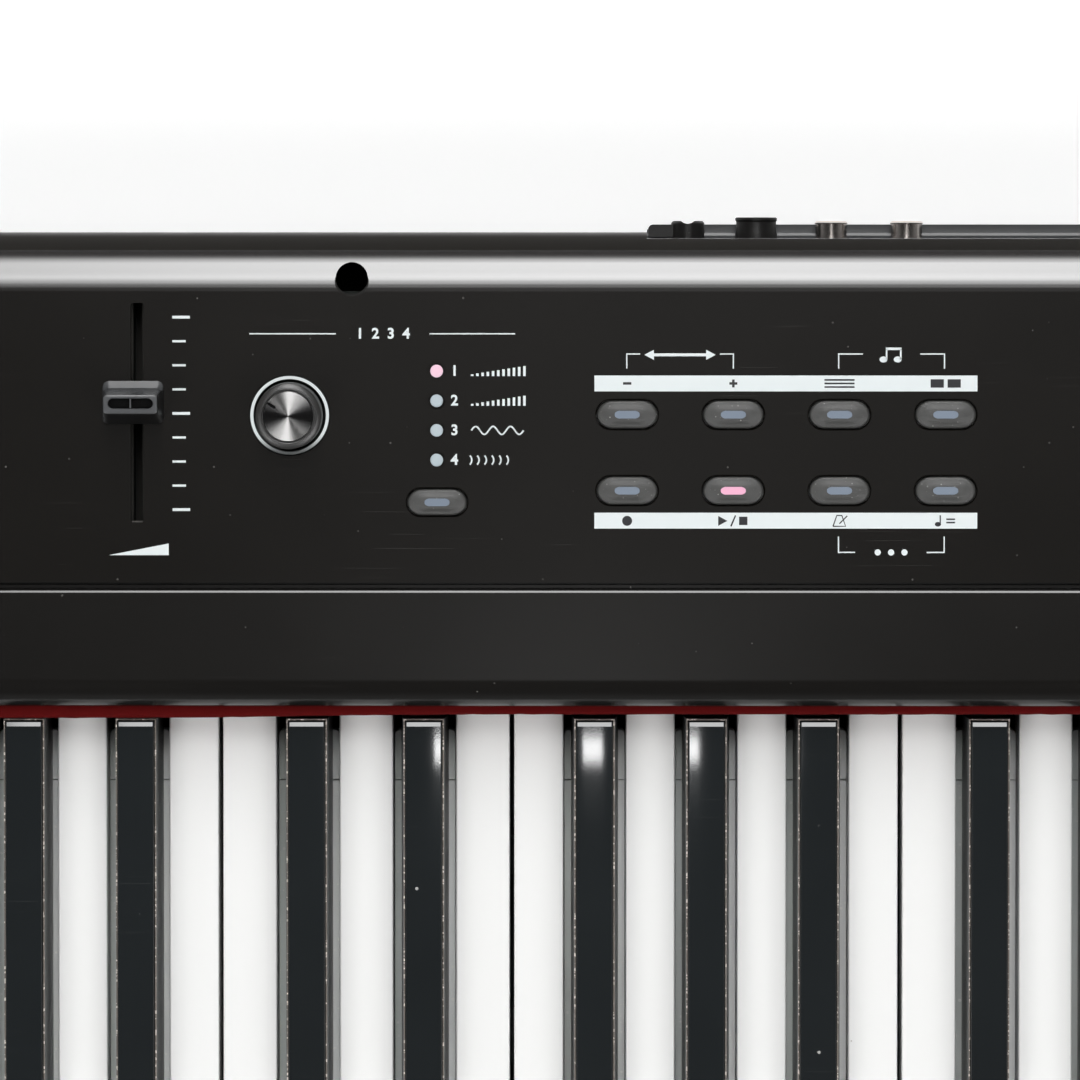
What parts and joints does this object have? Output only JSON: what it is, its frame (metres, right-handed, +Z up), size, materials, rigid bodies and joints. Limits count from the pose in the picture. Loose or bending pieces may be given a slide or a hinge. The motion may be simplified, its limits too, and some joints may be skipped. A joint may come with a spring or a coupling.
{
  "type": "digital piano",
  "caption": "Slab digital piano: hinged white and black keys between end cheeks, under a panel with a slider, a knob, lamps and round-ended buttons; jacks at the rear.",
  "frame": {"origin": "centre of the footprint, on the surface that the feet stand on", "axes": "+X to the player's right along the keyboard, +Y to the rear, +Z up"},
  "size_m": [1.3136, 0.281, 0.125],
  "materials": {
    "ivory": "semi-gloss white",
    "ebony": "satin black",
    "case": "fine-grained black",
    "panel": "satin near-black",
    "cover_strip": "smooth black",
    "felt": "red felt",
    "chassis": "moulded grey",
    "steel": "plated",
    "rubber": "black",
    "board": "circuit board",
    "button": "speckled dark grey",
    "lens": "frosted clear",
    "fader": "satin grey",
    "knob": "satin black",
    "aluminium": "spun",
    "nickel": "nickel plated",
    "jack_panel": "satin grey",
    "speaker": "paper cone in a black frame"
  },
  "bodies": {
    "case": {"bottom_case": "case", "fader_track": "steel", "felt_strip": "felt", "foot_front_left": "rubber", "foot_front_right": "rubber", "foot_rear_left": "rubber", "foot_rear_right": "rubber", "front_rail": "case", "jack_panel": "jack_panel", "key_chassis": "chassis", "key_contact_strip": "rubber", "key_cover_strip": "cover_strip", "knob_pot": "steel", "knob_ring": "lens", "lamp_light_pipe": "lens", "left_cheek": "case", "line_jack_left": "nickel", "line_jack_right": "nickel", "panel_board": "board", "pedal_jack": "case", "pivot_rod": "steel", "power_inlet": "case", "right_cheek": "case", "speaker_left": "speaker", "speaker_right": "speaker", "top_case": "panel"},
    "key_a1": {"key_a1": "ivory"},
    "key_a1_sharp": {"key_a1_sharp": "ebony"},
    "key_b1": {"key_b1": "ivory"},
    "key_c2": {"key_c2": "ivory"},
    "key_c2_sharp": {"key_c2_sharp": "ebony"},
    "key_d2": {"key_d2": "ivory"},
    "key_d2_sharp": {"key_d2_sharp": "ebony"},
    "key_e2": {"key_e2": "ivory"},
    "key_f2": {"key_f2": "ivory"},
    "key_f2_sharp": {"key_f2_sharp": "ebony"},
    "key_g2": {"key_g2": "ivory"},
    "key_g2_sharp": {"key_g2_sharp": "ebony"},
    "key_a2": {"key_a2": "ivory"},
    "key_a2_sharp": {"key_a2_sharp": "ebony"},
    "key_b2": {"key_b2": "ivory"},
    "key_c3": {"key_c3": "ivory"},
    "key_c3_sharp": {"key_c3_sharp": "ebony"},
    "key_d3": {"key_d3": "ivory"},
    "white_keys_left": {"white_keys_left": "ivory"},
    "black_keys_left": {"black_keys_left": "ebony"},
    "white_keys_right": {"white_keys_right": "ivory"},
    "black_keys_right": {"black_keys_right": "ebony"},
    "button_select": {"button_select": "button"},
    "button_upper_1": {"button_upper_1": "button"},
    "button_upper_2": {"button_upper_2": "button"},
    "button_upper_3": {"button_upper_3": "button"},
    "button_upper_4": {"button_upper_4": "button"},
    "button_lower_1": {"button_lower_1": "button"},
    "button_lower_2": {"button_lower_2": "button"},
    "button_lower_3": {"button_lower_3": "button"},
    "button_lower_4": {"button_lower_4": "button"},
    "fader": {"fader_cap": "fader"},
    "knob": {"control_knob": "knob", "knob_disc": "aluminium"}
  },
  "joints": [
    {"name": "key_a1_swing", "type": "hinge", "parent": "case", "child": "key_a1", "pos_m": [-0.43475, 0.08178, 0.078], "axis": [1, 0, 0], "range_deg": [0, 2.8], "stiffness_Nm_per_rad": 1, "springref_deg": -9.68},
    {"name": "key_a1_sharp_swing", "type": "hinge", "parent": "case", "child": "key_a1_sharp", "pos_m": [-0.41952, 0.08178, 0.078], "axis": [1, 0, 0], "range_deg": [0, 2.8], "stiffness_Nm_per_rad": 0.6, "springref_deg": -13.06},
    {"name": "key_b1_swing", "type": "hinge", "parent": "case", "child": "key_b1", "pos_m": [-0.41125, 0.08178, 0.078], "axis": [1, 0, 0], "range_deg": [0, 2.8], "stiffness_Nm_per_rad": 1, "springref_deg": -9.68},
    {"name": "key_c2_swing", "type": "hinge", "parent": "case", "child": "key_c2", "pos_m": [-0.38775, 0.08178, 0.078], "axis": [1, 0, 0], "range_deg": [0, 2.8], "stiffness_Nm_per_rad": 1, "springref_deg": -9.85},
    {"name": "key_c2_sharp_swing", "type": "hinge", "parent": "case", "child": "key_c2_sharp", "pos_m": [-0.37835, 0.08178, 0.078], "axis": [1, 0, 0], "range_deg": [0, 2.8], "stiffness_Nm_per_rad": 0.6, "springref_deg": -13.06},
    {"name": "key_d2_swing", "type": "hinge", "parent": "case", "child": "key_d2", "pos_m": [-0.36425, 0.08178, 0.078], "axis": [1, 0, 0], "range_deg": [0, 2.8], "stiffness_Nm_per_rad": 1, "springref_deg": -9.85},
    {"name": "key_d2_sharp_swing", "type": "hinge", "parent": "case", "child": "key_d2_sharp", "pos_m": [-0.35015, 0.08178, 0.078], "axis": [1, 0, 0], "range_deg": [0, 2.8], "stiffness_Nm_per_rad": 0.6, "springref_deg": -13.06},
    {"name": "key_e2_swing", "type": "hinge", "parent": "case", "child": "key_e2", "pos_m": [-0.34075, 0.08178, 0.078], "axis": [1, 0, 0], "range_deg": [0, 2.8], "stiffness_Nm_per_rad": 1, "springref_deg": -9.85},
    {"name": "key_f2_swing", "type": "hinge", "parent": "case", "child": "key_f2", "pos_m": [-0.31725, 0.08178, 0.078], "axis": [1, 0, 0], "range_deg": [0, 2.8], "stiffness_Nm_per_rad": 1, "springref_deg": -9.68},
    {"name": "key_f2_sharp_swing", "type": "hinge", "parent": "case", "child": "key_f2_sharp", "pos_m": [-0.30898, 0.08178, 0.078], "axis": [1, 0, 0], "range_deg": [0, 2.8], "stiffness_Nm_per_rad": 0.6, "springref_deg": -13.06},
    {"name": "key_g2_swing", "type": "hinge", "parent": "case", "child": "key_g2", "pos_m": [-0.29375, 0.08178, 0.078], "axis": [1, 0, 0], "range_deg": [0, 2.8], "stiffness_Nm_per_rad": 1, "springref_deg": -9.68},
    {"name": "key_g2_sharp_swing", "type": "hinge", "parent": "case", "child": "key_g2_sharp", "pos_m": [-0.282, 0.08178, 0.078], "axis": [1, 0, 0], "range_deg": [0, 2.8], "stiffness_Nm_per_rad": 0.6, "springref_deg": -13.06},
    {"name": "key_a2_swing", "type": "hinge", "parent": "case", "child": "key_a2", "pos_m": [-0.27025, 0.08178, 0.078], "axis": [1, 0, 0], "range_deg": [0, 2.8], "stiffness_Nm_per_rad": 1, "springref_deg": -9.68},
    {"name": "key_a2_sharp_swing", "type": "hinge", "parent": "case", "child": "key_a2_sharp", "pos_m": [-0.25502, 0.08178, 0.078], "axis": [1, 0, 0], "range_deg": [0, 2.8], "stiffness_Nm_per_rad": 0.6, "springref_deg": -13.06},
    {"name": "key_b2_swing", "type": "hinge", "parent": "case", "child": "key_b2", "pos_m": [-0.24675, 0.08178, 0.078], "axis": [1, 0, 0], "range_deg": [0, 2.8], "stiffness_Nm_per_rad": 1, "springref_deg": -9.68},
    {"name": "key_c3_swing", "type": "hinge", "parent": "case", "child": "key_c3", "pos_m": [-0.22325, 0.08178, 0.078], "axis": [1, 0, 0], "range_deg": [0, 2.8], "stiffness_Nm_per_rad": 1, "springref_deg": -9.85},
    {"name": "key_c3_sharp_swing", "type": "hinge", "parent": "case", "child": "key_c3_sharp", "pos_m": [-0.21385, 0.08178, 0.078], "axis": [1, 0, 0], "range_deg": [0, 2.8], "stiffness_Nm_per_rad": 0.6, "springref_deg": -13.06},
    {"name": "key_d3_swing", "type": "hinge", "parent": "case", "child": "key_d3", "pos_m": [-0.19975, 0.08178, 0.078], "axis": [1, 0, 0], "range_deg": [0, 2.8], "stiffness_Nm_per_rad": 1, "springref_deg": -9.85},
    {"name": "white_keys_left_swing", "type": "hinge", "parent": "case", "child": "white_keys_left", "pos_m": [-0.52875, 0.08178, 0.078], "axis": [1, 0, 0], "range_deg": [0, 2.8], "stiffness_Nm_per_rad": 7, "springref_deg": -9.97},
    {"name": "black_keys_left_swing", "type": "hinge", "parent": "case", "child": "black_keys_left", "pos_m": [-0.51526, 0.08178, 0.078], "axis": [1, 0, 0], "range_deg": [0, 2.8], "stiffness_Nm_per_rad": 3, "springref_deg": -12.72},
    {"name": "white_keys_right_swing", "type": "hinge", "parent": "case", "child": "white_keys_right", "pos_m": [0.2115, 0.08178, 0.078], "axis": [1, 0, 0], "range_deg": [0, 2.8], "stiffness_Nm_per_rad": 34, "springref_deg": -9.91},
    {"name": "black_keys_right_swing", "type": "hinge", "parent": "case", "child": "black_keys_right", "pos_m": [0.19092, 0.08178, 0.078], "axis": [1, 0, 0], "range_deg": [0, 2.8], "stiffness_Nm_per_rad": 14.4, "springref_deg": -12.78},
    {"name": "button_select_press", "type": "slide", "parent": "case", "child": "button_select", "axis": [0, 0, -1], "range_m": [0, 0.0009], "stiffness_N_per_m": 800, "springref_m": -0.0005},
    {"name": "button_upper_1_press", "type": "slide", "parent": "case", "child": "button_upper_1", "axis": [0, 0, -1], "range_m": [0, 0.0009], "stiffness_N_per_m": 800, "springref_m": -0.0005},
    {"name": "button_upper_2_press", "type": "slide", "parent": "case", "child": "button_upper_2", "axis": [0, 0, -1], "range_m": [0, 0.0009], "stiffness_N_per_m": 800, "springref_m": -0.0005},
    {"name": "button_upper_3_press", "type": "slide", "parent": "case", "child": "button_upper_3", "axis": [0, 0, -1], "range_m": [0, 0.0009], "stiffness_N_per_m": 800, "springref_m": -0.0005},
    {"name": "button_upper_4_press", "type": "slide", "parent": "case", "child": "button_upper_4", "axis": [0, 0, -1], "range_m": [0, 0.0009], "stiffness_N_per_m": 800, "springref_m": -0.0005},
    {"name": "button_lower_1_press", "type": "slide", "parent": "case", "child": "button_lower_1", "axis": [0, 0, -1], "range_m": [0, 0.0009], "stiffness_N_per_m": 800, "springref_m": -0.0005},
    {"name": "button_lower_2_press", "type": "slide", "parent": "case", "child": "button_lower_2", "axis": [0, 0, -1], "range_m": [0, 0.0009], "stiffness_N_per_m": 800, "springref_m": -0.0005},
    {"name": "button_lower_3_press", "type": "slide", "parent": "case", "child": "button_lower_3", "axis": [0, 0, -1], "range_m": [0, 0.0009], "stiffness_N_per_m": 800, "springref_m": -0.0005},
    {"name": "button_lower_4_press", "type": "slide", "parent": "case", "child": "button_lower_4", "axis": [0, 0, -1], "range_m": [0, 0.0009], "stiffness_N_per_m": 800, "springref_m": -0.0005},
    {"name": "fader_slide", "type": "slide", "parent": "case", "child": "fader", "axis": [0, 1, 0], "range_m": [-0.0249, 0.02]},
    {"name": "knob_turn", "type": "hinge", "parent": "case", "child": "knob", "pos_m": [-0.382, 0.09317, 0.1126], "axis": [0, 0, 1], "range_deg": [-200, 100]}
  ]
}
